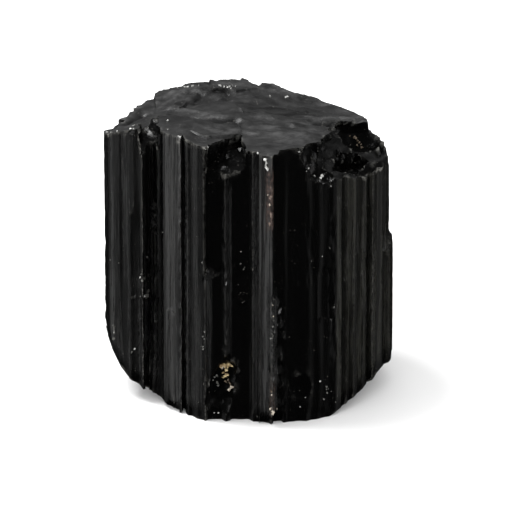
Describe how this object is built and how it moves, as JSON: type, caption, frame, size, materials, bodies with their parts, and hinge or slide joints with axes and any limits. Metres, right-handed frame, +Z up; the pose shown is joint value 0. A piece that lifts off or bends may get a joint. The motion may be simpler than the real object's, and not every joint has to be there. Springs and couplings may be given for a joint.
{
  "type": "tourmaline crystal",
  "caption": "Short, stout crystal of black tourmaline with grooved sides, a broken top and a broken foot ground flat enough to stand on; for display or still life.",
  "frame": {"origin": "on the plane that the crystal stands on, under the middle of its bounding box", "axes": "+Z up along the crystal's length, -Y towards the front, where the proudest ridge is, +X to the right seen from the front"},
  "size_m": [0.0404, 0.034, 0.0408],
  "materials": {
    "tourmaline": "near-black, glassy on the grown faces and duller on the broken ones"
  },
  "bodies": {
    "root": {"tourmaline_crystal": "tourmaline"}
  },
  "joints": []
}
